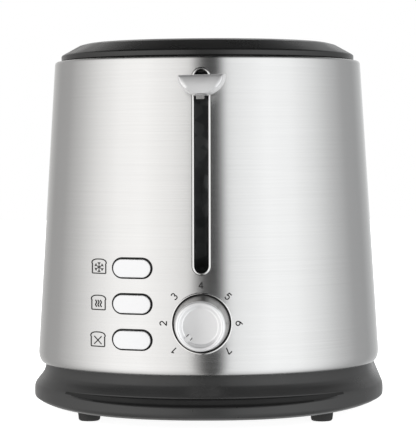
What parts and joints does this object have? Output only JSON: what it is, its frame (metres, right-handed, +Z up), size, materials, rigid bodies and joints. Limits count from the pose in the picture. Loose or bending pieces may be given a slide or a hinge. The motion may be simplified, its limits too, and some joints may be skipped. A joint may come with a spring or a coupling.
{
  "type": "pop-up toaster",
  "caption": "Pop-up toaster with a brushed steel wrap on a flared base, end lever, browning dial, push buttons, bread slots and a rear crumb tray.",
  "frame": {"origin": "on the worktop, under the middle of the whole toaster's box, knobs and tray handle included", "axes": "+Z up; Y along the toaster, the control end with the lever, dial and buttons facing -Y; X across it"},
  "size_m": [0.1892, 0.315, 0.1978],
  "materials": {
    "steel_wrap": "horizontally brushed stainless steel",
    "black_cover": "satin moulded black",
    "grey_base": "satin dark grey moulding",
    "foot_rubber": "matt",
    "bright_bezel": "bright plated",
    "silver_controls": "silver satin paint",
    "pale_buttons": "pale silver satin paint",
    "black_fittings": "moulded black",
    "galvanised_sheet": "galvanised",
    "mica_boards": "layered mica",
    "plain_steel": "plain steel",
    "polished_steel": "polished",
    "board_green": "solder-masked board",
    "coil_copper": "enamelled copper winding",
    "tray_metal": "rolled sheet"
  },
  "bodies": {
    "housing": {"body_shell": "steel_wrap", "top_cover": "black_cover", "base": "grey_base", "foot_front_left": "foot_rubber", "foot_front_right": "foot_rubber", "foot_rear_left": "foot_rubber", "foot_rear_right": "foot_rubber", "slot_bezel": "bright_bezel", "dial_bezel": "bright_bezel", "button_guide": "black_fittings", "board_carrier": "black_fittings", "mains_contact_block": "black_fittings", "defrost_switch": "black_fittings", "reheat_switch": "black_fittings", "cancel_switch": "black_fittings", "potentiometer": "black_fittings", "cord_gland": "black_fittings", "chassis_front_plate": "galvanised_sheet", "chassis_rear_plate": "galvanised_sheet", "chassis_left_panel": "galvanised_sheet", "chassis_right_panel": "galvanised_sheet", "upper_rod_bracket": "galvanised_sheet", "lower_rod_bracket": "galvanised_sheet", "heater_left": "mica_boards", "heater_centre": "mica_boards", "heater_right": "mica_boards", "lift_spring": "plain_steel", "magnet_core": "plain_steel", "base_screw_1": "plain_steel", "base_screw_2": "plain_steel", "base_screw_3": "plain_steel", "base_screw_4": "plain_steel", "guide_rod": "polished_steel", "circuit_board": "board_green", "magnet_coil": "coil_copper"},
    "carriage": {"carriage_plate": "galvanised_sheet", "lever_arm": "polished_steel", "lever_knob": "silver_controls", "bread_lift_left": "plain_steel", "bread_lift_right": "plain_steel", "armature": "plain_steel"},
    "guard_left_outer": {"bread_guard_left_outer": "plain_steel"},
    "guard_left_inner": {"bread_guard_left_inner": "plain_steel"},
    "guard_right_outer": {"bread_guard_right_outer": "plain_steel"},
    "guard_right_inner": {"bread_guard_right_inner": "plain_steel"},
    "dial": {"dial_knob": "silver_controls", "dial_shaft": "plain_steel"},
    "defrost": {"defrost_button": "pale_buttons"},
    "reheat": {"reheat_button": "pale_buttons"},
    "cancel": {"cancel_button": "pale_buttons"},
    "tray": {"crumb_tray": "tray_metal", "tray_handle": "grey_base"}
  },
  "joints": [
    {"name": "carriage_slide", "type": "slide", "parent": "housing", "child": "carriage", "axis": [0, 0, -1], "range_m": [0, 0.084], "stiffness_N_per_m": 60, "springref_m": -0.06, "deforming": ["lift_spring"]},
    {"name": "guard_left_outer_tilt", "type": "hinge", "parent": "housing", "child": "guard_left_outer", "pos_m": [-0.043, 0.0045, 0.04], "axis": [0, 1, 0], "range_deg": [0, 5.2]},
    {"name": "guard_left_inner_tilt", "type": "hinge", "parent": "housing", "child": "guard_left_inner", "pos_m": [-0.007, 0.0045, 0.04], "axis": [0, -1, 0], "range_deg": [0, 5.2]},
    {"name": "guard_right_outer_tilt", "type": "hinge", "parent": "housing", "child": "guard_right_outer", "pos_m": [0.043, 0.0045, 0.04], "axis": [0, -1, 0], "range_deg": [0, 5.2]},
    {"name": "guard_right_inner_tilt", "type": "hinge", "parent": "housing", "child": "guard_right_inner", "pos_m": [0.007, 0.0045, 0.04], "axis": [0, 1, 0], "range_deg": [0, 5.2]},
    {"name": "dial_turn", "type": "hinge", "parent": "housing", "child": "dial", "pos_m": [0, -0.138, 0.054], "axis": [0, 1, 0], "range_deg": [0, 270]},
    {"name": "defrost_press", "type": "slide", "parent": "housing", "child": "defrost", "axis": [0, 1, 0], "range_m": [0, 0.0015], "stiffness_N_per_m": 300, "springref_m": -0.003},
    {"name": "reheat_press", "type": "slide", "parent": "housing", "child": "reheat", "axis": [0, 1, 0], "range_m": [0, 0.0015], "stiffness_N_per_m": 300, "springref_m": -0.003},
    {"name": "cancel_press", "type": "slide", "parent": "housing", "child": "cancel", "axis": [0, 1, 0], "range_m": [0, 0.0015], "stiffness_N_per_m": 300, "springref_m": -0.003},
    {"name": "tray_pull", "type": "slide", "parent": "housing", "child": "tray", "axis": [0, 1, 0], "range_m": [0, 0.2]}
  ],
  "couplings": [
    {"joint": "guard_left_outer_tilt", "follows": "carriage_slide", "rad_per_m": 1.07},
    {"joint": "guard_left_inner_tilt", "follows": "carriage_slide", "rad_per_m": 1.07},
    {"joint": "guard_right_outer_tilt", "follows": "carriage_slide", "rad_per_m": 1.07},
    {"joint": "guard_right_inner_tilt", "follows": "carriage_slide", "rad_per_m": 1.07}
  ]
}
